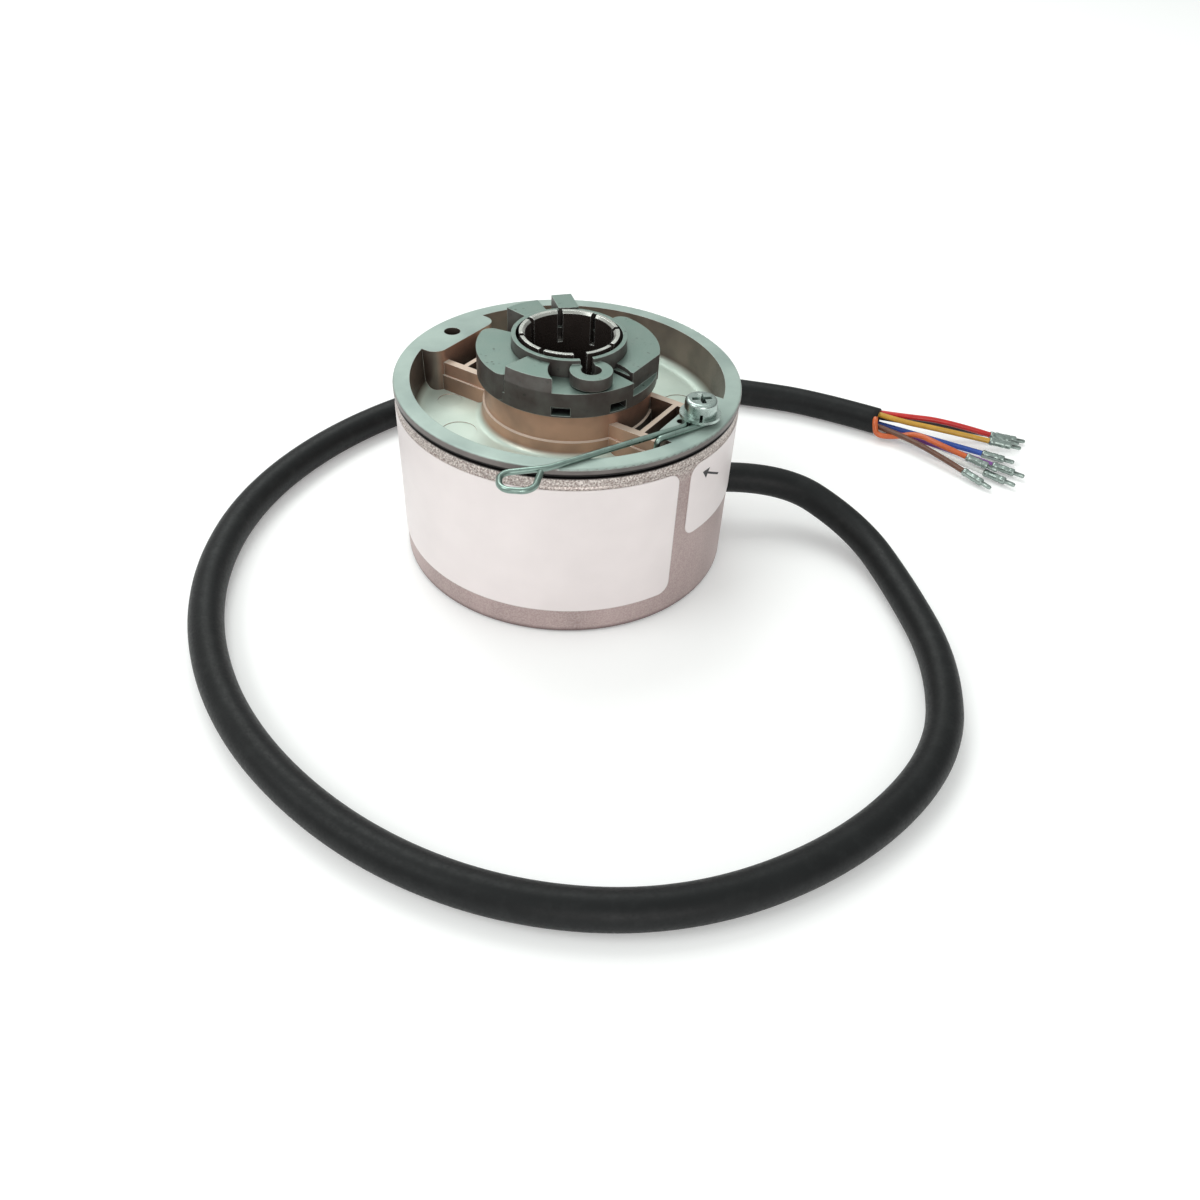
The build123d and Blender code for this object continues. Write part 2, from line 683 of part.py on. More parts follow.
connector_r = BOARD_R - CONNECTOR_SIZE[0] / 2 - SAFE_GAP
with BuildPart() as board_connector:
    with BuildSketch(turned_plane(CABLE_AZ, board_top)):
        with Locations((connector_r, 0)):
            Rectangle(CONNECTOR_SIZE[0], CONNECTOR_SIZE[1])
    extrude(amount=CONNECTOR_SIZE[2])
board_connector.part.label = "board_connector"

# Gland in the can wall and the clamp plate that takes the pull of the lead inside
gland_seat_r = (cover_inner_r ** 2 - GROMMET_FLANGE_R ** 2) ** 0.5 - RUN_GAP
with BuildPart() as cable_grommet:
    with BuildSketch(radial_plane(CABLE_AZ, CABLE_Z, gland_seat_r - GROMMET_FLANGE_T)):
        Circle(GROMMET_FLANGE_R)
    extrude(amount=GROMMET_FLANGE_T)
    with BuildSketch(radial_plane(CABLE_AZ, CABLE_Z, gland_seat_r)):
        Circle(GROMMET_R)
    extrude(amount=cover_r + GROMMET_PROUD - gland_seat_r)
    with BuildSketch(radial_plane(CABLE_AZ, CABLE_Z, gland_seat_r - GROMMET_FLANGE_T)):
        Circle(CABLE_R)
    extrude(amount=cover_r, mode=Mode.SUBTRACT)
cable_grommet.part.label = "cable_grommet"

clamp_height = CABLE_Z + CABLE_R + CLAMP_TOP - COVER_FLOOR
with BuildPart() as cable_clamp:
    with BuildSketch(radial_plane(CABLE_AZ, CABLE_Z, lead_end_r + RUN_GAP)):
        with Locations((0, COVER_FLOOR - CABLE_Z + clamp_height / 2)):
            Rectangle(CLAMP_W, clamp_height)
        Circle(CABLE_R, mode=Mode.SUBTRACT)
    extrude(amount=CLAMP_T)
cable_clamp.part.label = "cable_clamp"

# Lead: route of the jacket's centre line, straight out of the gland and then once round the encoder
LEAD_Z = 2.95
FREE_ROUTE = [
    (57.2, 2.1, 5.0),
    (63.9, -14.9, LEAD_Z),
    (66.5, -35.0, LEAD_Z),
    (61.7, -55.4, LEAD_Z),
    (44.3, -74.0, LEAD_Z),
    (20.8, -85.5, LEAD_Z),
    (-4.2, -85.4, LEAD_Z),
    (-28.2, -75.2, LEAD_Z),
    (-48.6, -55.4, LEAD_Z),
    (-60.6, -30.0, LEAD_Z),
    (-61.7, -3.1, LEAD_Z),
    (-52.0, 21.5, LEAD_Z),
    (-33.9, 42.0, LEAD_Z),
    (-9.3, 53.5, LEAD_Z),
    (17.4, 55.8, LEAD_Z),
    (40.4, 52.6, LEAD_Z),
    (54.2, 49.6, LEAD_Z),
    (66.8, 43.5, LEAD_Z),
]
exit_line = radial_plane(CABLE_AZ, CABLE_Z)
exit_points = [tuple(exit_line.origin + exit_line.z_dir * r) for r in (lead_end_r, BODY_R + EXIT_RUN)]
jacket_route = exit_points + FREE_ROUTE
print("jacket starts at:", [[round(value, 2) for value in point] for point in exit_points])
jacket_radii = turn_radii(jacket_route)
print("jacket radii in diameters:", [round(r / CABLE_R / 2, 1) for r in jacket_radii])
with BuildPart() as cable_jacket:
    add(route_tube(jacket_route, jacket_radii, CABLE_R, "cable_jacket"))
cable_jacket.part.label = "cable_jacket"

# Short wire harness from the end of the jacket to the board connector
harness_z = board_top + CONNECTOR_SIZE[2] / 2 + CORE_R / 2
harness_r = BOARD_R + 2 * CORE_R + CORE_RING_R / 2
harness_points = [
    (lead_end_r, CABLE_Z),
    (harness_r, CABLE_Z),
    (harness_r, harness_z),
    (connector_r + CONNECTOR_SIZE[0] / 2, harness_z),
]
with BuildPart() as inner_harness:
    with BuildLine(section_plane(CABLE_AZ)) as harness_path:
        FilletPolyline(*harness_points, radius=CORE_R + RUN_GAP)
    with BuildSketch(Plane(origin=harness_path.wire() @ 0, z_dir=harness_path.wire() % 0)):
        Circle(CORE_R)
    sweep(path=harness_path.wire())
inner_harness.part.label = "inner_harness"

# Stripped cores, told by colour: tip of each core ahead, to the left and above the jacket's end
CORE_TIPS = {
    "black": (26.0, 10.5, 1.6),
    "red": (25.0, 8.0, 2.8),
    "yellow": (25.5, 3.8, 3.6),
    "orange": (22.5, -5.2, 3.4),
    "brown": (23.0, -8.3, 1.6),
    "white": (27.0, -5.6, 1.2),
    "violet": (28.0, -1.8, 1.25),
    "blue": (25.0, 1.8, 1.25),
}
CORE_STRAIGHT = 6.0
jacket_end = Vector(*jacket_route[-1])
ahead = (jacket_end - Vector(*jacket_route[-2])).normalized()
left = Vector(0, 0, 1).cross(ahead)


def core_route(index, tip):
    """Centre line of one core, which leaves the jacket straight and then fans out."""
    angle = 2 * pi * index / len(CORE_TIPS)
    start = jacket_end + left * CORE_RING_R * cos(angle) + Vector(0, 0, CORE_RING_R * sin(angle))
    bend = start + ahead * CORE_STRAIGHT
    end = Vector(jacket_end.X, jacket_end.Y, 0) + ahead * tip[0] + left * tip[1] + Vector(0, 0, tip[2])
    middle = bend + (end - bend) * 0.5 + ahead * CORE_R
    return [tuple(point) for point in (start, bend, middle, end)]


cores = []
for index, (colour, tip) in enumerate(CORE_TIPS.items()):
    points = core_route(index, tip)
    radii = turn_radii(points)
    print(f"{colour} core radii in diameters:", [round(r / CORE_R / 2, 1) for r in radii])
    with BuildPart() as core:
        add(route_tube(points, radii, CORE_R, f"core_{colour}"))
    core.part.label = f"core_{colour}"
    cores.append(core)

# Crimped ferrules on the core ends
with BuildPart() as wire_ferrules:
    for index, tip in enumerate(CORE_TIPS.values()):
        points = core_route(index, tip)
        direction = Vector(*points[-1]) - Vector(*points[-2])
        seat = Plane(origin=points[-1], z_dir=direction)
        with BuildSketch(seat):
            Circle(FERRULE_R)
        extrude(amount=FERRULE_L)
        with BuildSketch(seat.offset(FERRULE_L)):
            Circle(PIN_R)
        extrude(amount=PIN_L)
wire_ferrules.part.label = "wire_ferrules"

# Spring wire: hook in the recess, loop round the screw, long arm and an eye that closes on the arm
wrap_r = SCREW_SHANK_R + WIRE_R + 3 * RUN_GAP
wrap_centre = Vector(screw_x, screw_y, wire_z)
arm_out = (Vector(*EYE_CORNERS[0], wire_z) - wrap_centre).normalized()
arm_side = arm_out.cross(Vector(0, 0, 1))
wrap_turn = [(-wrap_r, -wrap_r), (-wrap_r, wrap_r), (WRAP_LEAVE, wrap_r), (WRAP_JOIN, -ARM_OFFSET)]
wire_points = [(*HOOK_PLACE, wire_z - HOOK_DROP), (*HOOK_PLACE, wire_z)]
wire_points += [tuple(wrap_centre + arm_out * along + arm_side * aside) for along, aside in wrap_turn]
wire_points += [(*corner, wire_z) for corner in EYE_CORNERS]
with BuildPart() as torque_wire:
    add(route_tube(wire_points, WIRE_RADII, WIRE_R, "torque_wire"))
torque_wire.part.label = "torque_wire"

# Screw stack on the pad: flat washer on the wire, spring washer, pan head screw with a cross
washer_z = BODY_H + 2 * WIRE_R
with BuildPart() as flat_washer:
    with BuildSketch(Plane.XY.offset(washer_z)):
        with Locations((screw_x, screw_y)):
            Circle(FLAT_WASHER_R)
            Circle(LUG_HOLE_R + RUN_GAP, mode=Mode.SUBTRACT)
    extrude(amount=FLAT_WASHER_T)
flat_washer.part.label = "flat_washer"

with BuildPart() as spring_washer:
    with BuildSketch(Plane.XY.offset(washer_z + FLAT_WASHER_T)):
        with Locations((screw_x, screw_y)):
            Circle(SPRING_WASHER_R)
            Circle(LUG_HOLE_R + RUN_GAP, mode=Mode.SUBTRACT)
        with Locations((screw_x, screw_y - SPRING_WASHER_R + RUN_GAP)):
            Rectangle(SPRING_WASHER_CUT, 2 * (SPRING_WASHER_R - LUG_HOLE_R), mode=Mode.SUBTRACT)
    extrude(amount=SPRING_WASHER_T)
spring_washer.part.label = "spring_washer"

head_z = washer_z + FLAT_WASHER_T + SPRING_WASHER_T
with BuildPart() as lug_screw:
    with BuildSketch(Plane.XY.offset(head_z)):
        with Locations((screw_x, screw_y)):
            Circle(SCREW_HEAD_R)
    extrude(amount=SCREW_HEAD_H)
    fillet(lug_screw.edges().sort_by(Axis.Z)[-1], SCREW_CROWN)
    with BuildSketch(Plane.XY.offset(head_z + SCREW_HEAD_H)):
        with Locations((screw_x, screw_y)):
            Rectangle(CROSS_L, CROSS_W, rotation=CROSS_TURN)
            Rectangle(CROSS_W, CROSS_L, rotation=CROSS_TURN)
    with BuildSketch(Plane.XY.offset(head_z + SCREW_HEAD_H - CROSS_DEPTH)):
        with Locations((screw_x, screw_y)):
            Rectangle(CROSS_L - CROSS_DEPTH, CROSS_FOOT_W, rotation=CROSS_TURN)
            Rectangle(CROSS_FOOT_W, CROSS_L - CROSS_DEPTH, rotation=CROSS_TURN)
    loft(mode=Mode.SUBTRACT)
    with BuildSketch(Plane.XY.offset(head_z)):
        with Locations((screw_x, screw_y)):
            Circle(SCREW_SHANK_R)
    extrude(amount=-SCREW_SHANK_L)
lug_screw.part.label = "lug_screw"

# Bare labels on the can
with BuildPart() as main_label:
    add(film_label(MAIN_LABEL_SPAN, label_top - MAIN_LABEL_FOOT))
main_label.part.label = "main_label"

with BuildPart() as arrow_label:
    add(film_label(ARROW_LABEL_SPAN, ARROW_LABEL_H))
arrow_label.part.label = "arrow_label"

pieces = [
    flange_housing, rear_cover, cover_seal, hollow_shaft, clamp_ring, clamp_collar,
    front_inner_race, front_outer_race, front_balls, front_cage,
    rear_inner_race, rear_outer_race, rear_balls, rear_cage,
    bearing_spacer, preload_washer, bearing_shield, retaining_ring,
    disc_hub, code_disc, light_source, sensor_block, circuit_board, board_screws, board_connector,
    cable_grommet, cable_clamp, cable_jacket, inner_harness, wire_ferrules,
    torque_wire, flat_washer, spring_washer, lug_screw, main_label, arrow_label,
]
for piece in pieces + cores:
    export_step(piece.part, f"parts/{piece.part.label}.step")
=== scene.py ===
"""Looks of a hollow shaft rotary encoder with a clamping hub, a spring wire arm and a stripped lead."""

from math import cos, pi, radians, sin

import bpy
from mathutils import Matrix, Vector


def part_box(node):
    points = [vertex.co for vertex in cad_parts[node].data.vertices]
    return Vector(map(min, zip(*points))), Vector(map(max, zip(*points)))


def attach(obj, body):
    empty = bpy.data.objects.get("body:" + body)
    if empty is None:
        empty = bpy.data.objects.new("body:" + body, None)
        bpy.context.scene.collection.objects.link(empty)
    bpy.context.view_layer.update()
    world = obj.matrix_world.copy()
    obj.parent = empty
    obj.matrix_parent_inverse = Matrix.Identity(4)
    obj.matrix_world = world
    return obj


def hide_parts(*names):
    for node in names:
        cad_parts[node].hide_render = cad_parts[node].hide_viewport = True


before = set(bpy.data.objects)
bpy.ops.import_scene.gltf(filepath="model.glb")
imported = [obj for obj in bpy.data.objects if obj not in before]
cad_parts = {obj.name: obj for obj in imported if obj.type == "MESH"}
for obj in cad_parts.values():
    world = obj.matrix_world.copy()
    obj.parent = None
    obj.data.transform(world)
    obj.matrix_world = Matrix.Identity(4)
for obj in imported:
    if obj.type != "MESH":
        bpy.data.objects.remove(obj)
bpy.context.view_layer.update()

# Sizes and places are in millimetres, apart from the lamps', and this factor makes them metres
MM = 0.001

# Camera, at the photograph's place and angle
CAMERA_PLACE = (7.61, -155.88, 116.73)
CAMERA_DOWN = radians(40.80)
CAMERA_ROLL = radians(3.17)
CAMERA_LENS = 29.87
CAMERA_SENSOR = 36.0
CAMERA_NEAR = 5.0

# Can and labels, the flange's lip above the joint, and the recess under its rim
COVER_R = 29.8
LABEL_R = 29.94
LIP_T = 1.3
RECESS_DEPTH = 7.6

# Lead: radius, length and the jacket's route, from inside the can once round the encoder
CABLE_R = 2.885
JACKET_ROUTE = [
    (23.22, 5.66, 9.5),
    (40.32, 9.83, 9.5),
    (55.8, -0.6, 5.0),
    (61.9, -16.9, 2.95),
    (65.0, -35.6, 2.95),
    (61.2, -55.6, 2.95),
    (44.4, -73.8, 2.95),
    (20.9, -85.0, 2.95),
    (-4.2, -84.9, 2.95),
    (-28.0, -74.8, 2.95),
    (-48.6, -55.4, 2.95),
    (-60.6, -30.0, 2.95),
    (-61.7, -3.1, 2.95),
    (-52.0, 21.5, 2.95),
    (-33.9, 42.0, 2.95),
    (-9.3, 53.5, 2.95),
    (17.4, 55.8, 2.95),
    (40.4, 52.6, 2.95),
    (54.2, 49.6, 2.95),
    (66.8, 43.5, 2.95),
]

# Stripped cores, each by its points ahead, to the left and above the jacket's end
CORE_R = 0.6
CORE_POINTS = {
    "black": [(0.0, 1.8, 0.0), (6.0, 2.2, 0.4), (16.0, 6.4, 0.0), (26.0, 10.5, -1.35)],
    "red": [(0.0, 1.3, 1.3), (6.0, 1.6, 2.0), (15.0, 4.4, 2.2), (25.0, 8.0, -0.15)],
    "yellow": [(0.0, 0.0, 1.8), (6.0, -0.2, 1.6), (15.0, 1.0, 1.7), (25.5, 3.8, 0.65)],
    "orange": [
        (0.0, 0.2, 1.1), (0.9, -1.6, 1.9), (1.5, -3.5, 0.6), (2.4, -3.6, -1.5),
        (6.5, -2.7, -1.0), (10.5, -2.3, 1.0), (16.0, -4.6, 1.2), (22.5, -5.2, 0.45),
    ],
    "brown": [(0.0, -1.8, 0.0), (6.0, -2.5, -0.2), (14.0, -4.8, -0.4), (23.0, -8.3, -1.35)],
    "white": [(0.0, -1.3, -1.3), (6.0, -1.6, -1.6), (16.0, -3.0, -1.6), (27.0, -5.6, -1.75)],
    "violet": [(0.0, 0.0, -1.8), (6.0, -0.2, -1.5), (16.0, -0.6, -1.4), (28.0, -1.8, -1.7)],
    "blue": [(0.0, 1.3, -1.3), (6.0, 1.5, -1.4), (16.0, 1.2, -1.3), (25.0, 1.8, -1.65)],
}

# Turned profiles, as radii and heights: the wall of the jacket's cut end, and a crimped ferrule
END_WALL = [(2.1, 0.0), (2.15, 1.0), (2.35, 1.25), (2.75, 1.25), (2.87, 1.1), (CABLE_R, 0.0)]
FERRULE = [
    (0.0, -0.3), (0.72, -0.3), (0.86, 0.0), (0.86, 0.5), (0.74, 0.65), (0.8, 1.0), (0.72, 1.25), (0.8, 1.5),
    (0.72, 1.75), (0.8, 2.0), (0.8, 3.0), (0.7, 3.2), (0.8, 3.5), (0.8, 4.3), (0.7, 4.5), (0.45, 4.5),
    (0.45, 6.4), (0.3, 6.7), (0.0, 6.7),
]

# Printed arrow, each point an azimuth in degrees and a height on the can, and its lift over the label
ARROW_TIP = (-39.1, 27.2)
ARROW_NECK = (-36.2, 26.4)
ARROW_TAIL = (-28.7, 24.2)
PRINT_LIFT = 0.012

# Where the casting's colours change, its painted warm reflection and painted shade among them: radii, depths
# under the rim, heights over the recess floor and, for the joint, over the lip's lower edge
PAD_EDGE = (22.5, 24.5)
FLANGE_SKIRT = (28.5, 29.0)
RIM_DEPTHS = (0.9, 0.5)
LIP_DEPTHS = (1.5, 1.2)
LEDGE_HEIGHTS = (1.0, 1.4)
JOINT_HEIGHTS = (0.34, 0.14)

# Where the can's finish changes: depths under its mouth, and heights over its bottom, where painted shade
# darkens its foot
GRAINY_DEPTHS = (4.6, 1.9)
JOINT_DEPTHS = (0.36, 0.14)
FOOT_HEIGHTS = (1.3, 0.3)

# Colours, linear; a pair holds the two tones that patches or grains mix
# Casting: its tops carry painted light, its walls a painted warm reflection inside the pads and painted shade
# beyond them and on the lip
LIT_RECESS = (0.72, 0.84, 0.755, 1), (0.62, 0.75, 0.665, 1)
LIT_RIM = (0.385, 0.48, 0.435, 1), (0.28, 0.36, 0.33, 1)
WALL_WARM_REFLECTION = (0.66, 0.38, 0.27, 1), (0.42, 0.255, 0.19, 1)
WALL_SHADE = (0.24, 0.195, 0.165, 1), (0.145, 0.12, 0.105, 1)
LIP_WALL_SHADE = (0.22, 0.195, 0.185, 1), (0.15, 0.135, 0.13, 1)
LEDGE = (0.66, 0.53, 0.43, 1)
CASTING_SHADE = (0.10, 0.074, 0.062, 1)
CASTING_EDGE = (0.90, 0.92, 0.86, 1)
JOINT_DARK = (0.010, 0.008, 0.008, 1)
CAN = (0.45, 0.345, 0.335, 1), (0.36, 0.275, 0.265, 1)
CAN_GRAINY = (0.30, 0.24, 0.22, 1), (0.80, 0.74, 0.70, 1)
CAN_SPECKLE = (0.76, 0.67, 0.64, 1)
# Painted contact shade along the can's bottom edge
CAN_FOOT_SHADE = (0.10, 0.055, 0.055, 1)
CAN_EDGE = (0.85, 0.82, 0.78, 1)
CLAMP_PIT = (0.02, 0.02, 0.018, 1)
CLAMP_FILM = (0.30, 0.34, 0.31, 1)
CLAMP_SHADE = (0.012, 0.011, 0.011, 1)
CLAMP_EDGE = (0.55, 0.64, 0.58, 1)
METAL_EDGE = (0.8, 0.82, 0.8, 1)
PLATED_SHADE = (0.10, 0.12, 0.11, 1)
FILM = (0.87, 0.80, 0.795, 1), (0.81, 0.745, 0.74, 1)
FILM_EDGE = (0.50, 0.47, 0.46, 1)
JACKET = (0.004, 0.0048, 0.0052, 1), (0.010, 0.0115, 0.012, 1)
JACKET_DUST = (0.026, 0.028, 0.028, 1)
CORE_COLOURS = {
    "black": (0.018, 0.018, 0.02, 1),
    "red": (0.50, 0.012, 0.010, 1),
    "yellow": (0.50, 0.27, 0.025, 1),
    "orange": (0.50, 0.095, 0.018, 1),
    "brown": (0.105, 0.038, 0.018, 1),
    "white": (0.72, 0.74, 0.72, 1),
    "violet": (0.17, 0.045, 0.24, 1),
    "blue": (0.03, 0.09, 0.40, 1),
}

# Floor, and surroundings from low to high, with the belt's tones from left to right
FLOOR_REACH = 4000.0
FLOOR = (0.88, 0.88, 0.88, 1)
FLOOR_LIFT = 0.18
SKY_LOW = (0.85, 0.86, 0.86, 1)
SKY_BELT = (0.55, 0.52, 0.50, 1), (0.13, 0.12, 0.115, 1)
SKY_HIGH = (0.86, 0.90, 0.88, 1)
SKY_STRENGTH = 0.8


def link_object(name, data):
    """New object in the scene."""
    made = bpy.data.objects.new(name, data)
    bpy.context.scene.collection.objects.link(made)
    return made


def plug(tree, socket, value):
    """Links a socket to another one, or sets its value."""
    if isinstance(value, bpy.types.NodeSocket):
        tree.links.new(value, socket)
    else:
        socket.default_value = value


def add_node(tree, kind, inputs=None, **settings):
    """Shader node with its settings, and its inputs linked or set."""
    made = tree.nodes.new("ShaderNode" + kind)
    for name, value in settings.items():
        setattr(made, name, value)
    for name, value in (inputs or {}).items():
        plug(tree, made.inputs[name], value)
    return made


def new_material(name, **values):
    """Node material with its shader, whose constant inputs are given by name."""
    material = bpy.data.materials.new(name)
    material.use_nodes = True
    tree = material.node_tree
    shader = tree.nodes["Principled BSDF"]
    for socket, value in values.items():
        shader.inputs[socket.replace("_", " ")].default_value = value
    return material, tree, shader


def millimetres(tree, stretch=(1, 1, 1)):
    """Object coordinates in millimetres, stretched along the axes."""
    place = add_node(tree, "TexCoord").outputs["Object"]
    factors = [each / MM for each in stretch]
    return add_node(tree, "VectorMath", {0: place, 1: factors}, operation="MULTIPLY").outputs[0]


def height_of(tree):
    """Height of the surface."""
    return add_node(tree, "SeparateXYZ", {0: millimetres(tree)}).outputs["Z"]


def radius_of(tree):
    """Distance of the surface from the shaft's axis."""
    level_place = millimetres(tree, (1, 1, 0))
    return add_node(tree, "VectorMath", {0: level_place}, operation="LENGTH").outputs["Value"]


def noise(tree, size, detail=2.0, stretch=(1, 1, 1)):
    """Noise with features of a size in millimetres."""
    inputs = {"Vector": millimetres(tree, stretch), "Scale": 1 / size, "Detail": detail}
    return add_node(tree, "TexNoise", inputs).outputs["Fac"]


def cells(tree, size):
    """Distance to the nearest of scattered points, about a size in millimetres apart."""
    inputs = {"Vector": millimetres(tree), "Scale": 1 / size}
    return add_node(tree, "TexVoronoi", inputs).outputs["Distance"]


def fade(tree, value, start, end, low=0.0, high=1.0):
    """Value taken from one range to another and held at its ends."""
    inputs = {"Value": value, "From Min": start, "From Max": end, "To Min": low, "To Max": high}
    return add_node(tree, "MapRange", inputs).outputs[0]


def patches(tree, size, detail=3.0, stretch=(1, 1, 1), most=1.0):
    """Soft patches of a size in millimetres, from 0 to the most."""
    return fade(tree, noise(tree, size, detail, stretch), 0.35, 0.7, high=most)


def mix(tree, factor, first, second):
    """Colour mix, by the numbers of the node's colour sockets."""
    made = add_node(tree, "Mix", {0: factor, 6: first, 7: second}, data_type="RGBA")
    return made.outputs[2]


def combine(tree, operation, first, second):
    """Two numbers joined by an operation."""
    return add_node(tree, "Math", {0: first, 1: second}, operation=operation).outputs[0]


def multiply(tree, first, second):
    """Product of two numbers."""
    return combine(tree, "MULTIPLY", first, second)


def scaled(colour, factor):
    """Colour made darker or lighter by a factor."""
    return [factor * each for each in colour[:3]] + [1]


def facing_up(tree, start=0.3, end=0.9):
    """1 on faces that look up, 0 on upright ones."""
    normal = add_node(tree, "NewGeometry").outputs["Normal"]
    upward = add_node(tree, "SeparateXYZ", {0: normal}).outputs["Z"]
    return fade(tree, upward, start, end)


def rounded_normal(tree, radius):
    """Normal of edges rounded to a radius in millimetres."""
    return add_node(tree, "Bevel", {"Radius": radius * MM}, samples=6).outputs[0]


def with_edges(tree, base, width, share, colour):
    """Colour with a share of another one along sharp edges, in a band of a width in millimetres."""
    true_normal = add_node(tree, "NewGeometry").outputs["Normal"]
    inputs = {0: rounded_normal(tree, width), 1: true_normal}
    closeness = add_node(tree, "VectorMath", inputs, operation="DOT_PRODUCT").outputs["Value"]
    edges = fade(tree, closeness, 0.985, 0.8)
    return mix(tree, multiply(tree, edges, share), base, colour)


def bump(tree, height, depth, normal=None):
    """Bump of a depth in millimetres, over a normal where one is given."""
    inputs = {"Height": height, "Distance": depth * MM, "Strength": 1.0}
    if normal is not None:
        inputs["Normal"] = normal
    return add_node(tree, "Bump", inputs).outputs[0]


def shelter(tree, reach, start, end):
    """1 in corners and hollows that little light reaches within a distance in millimetres, 0 in the open."""
    openness = add_node(tree, "AmbientOcclusion", {"Distance": reach * MM}, samples=8).outputs["AO"]
    return fade(tree, openness, start, end)


def finish_shader(tree, shader, colour, grain, rough, normal=None):
    """Links a shader's colour, its roughness between two values by a grain, and a normal if one is given."""
    plug(tree, shader.inputs["Base Color"], colour)
    plug(tree, shader.inputs["Roughness"], fade(tree, grain, 0.3, 0.7, *rough))
    if normal is not None:
        plug(tree, shader.inputs["Normal"], normal)


def metal(name, painted_top, painted_side, grain, depth, rough, metallic=0.85):
    """Bare metal: painted light on faces that look up and painted shade on sides, with grain, blotches and
    bright edges.
    """
    material, tree, shader = new_material(name, Metallic=metallic)
    # Painted light on faces that look up, painted shade on sides
    base = mix(tree, facing_up(tree), painted_side, painted_top)
    blotched = mix(tree, patches(tree, size=6.0, most=0.22), base, scaled(painted_side, 0.45))
    edge_lightened = with_edges(tree, blotched, width=0.25, share=0.7, colour=METAL_EDGE)
    fine = noise(tree, grain, detail=4.0)
    relief = bump(tree, fine, depth, rounded_normal(tree, 0.125))
    finish_shader(tree, shader, edge_lightened, fine, rough=(rough - 0.07, rough + 0.09), normal=relief)
    return material


def polished(name, colour, rough, shade=PLATED_SHADE):
    """Smooth plated metal with a faint haze, and painted shade where it is sheltered."""
    material, tree, shader = new_material(name, Metallic=1.0)
    hazy = mix(tree, patches(tree, size=1.6), colour, scaled(colour, 0.78))
    shaded = mix(tree, shelter(tree, 1.2, start=0.6, end=0.2), hazy, shade)
    fine = noise(tree, 0.6, detail=3.0)
    finish_shader(tree, shader, shaded, fine, rough=(rough - 0.03, rough + 0.06))
    return material


def cast_metal(name, lip_z):
    """Die cast aluminium: machined rim, recess floor made pale by painted light, walls coppery by a painted
    warm reflection, painted shade on outer walls and in hollows, and bright thin edges.
    """
    material, tree, shader = new_material(name)
    rim_z = lip_z + LIP_T
    floor_z = rim_z - RECESS_DEPTH
    height = height_of(tree)
    radius = radius_of(tree)
    beyond_pads = fade(tree, radius, *PAD_EDGE)
    outside = fade(tree, radius, *FLANGE_SKIRT)
    on_rim = fade(tree, height, *[rim_z - depth for depth in RIM_DEPTHS])
    on_lip = fade(tree, height, *[rim_z - depth for depth in LIP_DEPTHS])
    raised = fade(tree, height, *[floor_z + each for each in LEDGE_HEIGHTS])
    in_joint = fade(tree, height, *[lip_z + each for each in JOINT_HEIGHTS])
    clouds = patches(tree, size=8.0, detail=4.0)
    smooth = patches(tree, size=6.0, detail=2.0)
    on_ledge = multiply(tree, raised, fade(tree, radius, *reversed(PAD_EDGE)))
    # Painted light on the tops of the recess floor, the ledge and the rim
    low_top = mix(tree, on_ledge, mix(tree, clouds, *LIT_RECESS), LEDGE)
    painted_top = mix(tree, on_rim, low_top, mix(tree, clouds, *LIT_RIM))
    # Walls: a painted warm reflection inside the pads, painted shade beyond them and on the lip's wall
    wall = mix(tree, beyond_pads, mix(tree, smooth, *WALL_WARM_REFLECTION), mix(tree, smooth, *WALL_SHADE))
    painted_side = mix(tree, multiply(tree, on_lip, outside), wall, mix(tree, smooth, *LIP_WALL_SHADE))
    shaded_side = mix(tree, shelter(tree, 9.0, start=0.58, end=0.12), painted_side, CASTING_SHADE)
    upward = facing_up(tree, end=0.85)
    edge_lightened = with_edges(tree, mix(tree, upward, shaded_side, painted_top), width=0.12, share=0.6, colour=CASTING_EDGE)
    # Darker in a thin band at the lip's lower edge, by the joint with the can
    joint_darkened = mix(tree, multiply(tree, in_joint, outside), edge_lightened, JOINT_DARK)
    fine = noise(tree, 0.35, detail=4.0)
    waves = multiply(tree, noise(tree, 2.4), 3.0)
    relief = bump(tree, combine(tree, "ADD", fine, waves), depth=0.006, normal=rounded_normal(tree, 0.12))
    plug(tree, shader.inputs["Metallic"], fade(tree, upward, 0, 1, low=0.7, high=0.22))
    finish_shader(tree, shader, joint_darkened, fine, rough=(0.33, 0.46), normal=relief)
    return material


def can_skin(name, mouth_z):
    """Rolled can: grainy under its mouth, smoother and a little pink below, with painted shade darkening its
    bottom edge.
    """
    material, tree, shader = new_material(name, Metallic=0.72)
    height = height_of(tree)
    near_mouth = fade(tree, height, *[mouth_z - depth for depth in GRAINY_DEPTHS])
    in_joint = fade(tree, height, *[mouth_z - depth for depth in JOINT_DEPTHS])
    near_foot = fade(tree, height, *FOOT_HEIGHTS)
    fine = noise(tree, 0.3, detail=4.0)
    grains = fade(tree, fine, 0.38, 0.66)
    smooth = mix(tree, patches(tree, size=8.0, stretch=(1, 1, 0.3)), *CAN)
    speckled = mix(tree, multiply(tree, grains, 0.32), smooth, CAN_SPECKLE)
    base = mix(tree, near_mouth, speckled, mix(tree, grains, *CAN_GRAINY))
    # Painted contact shade along the bottom edge
    foot_shaded = mix(tree, near_foot, base, CAN_FOOT_SHADE)
    edge_lightened = with_edges(tree, foot_shaded, width=0.15, share=0.6, colour=CAN_EDGE)
    # Darker in a thin band just under the mouth, by the joint
    joint_darkened = mix(tree, in_joint, edge_lightened, JOINT_DARK)
    relief = bump(tree, fine, depth=0.035, normal=rounded_normal(tree, 0.15))
    finish_shader(tree, shader, joint_darkened, fine, rough=(0.36, 0.52), normal=relief)
    return material


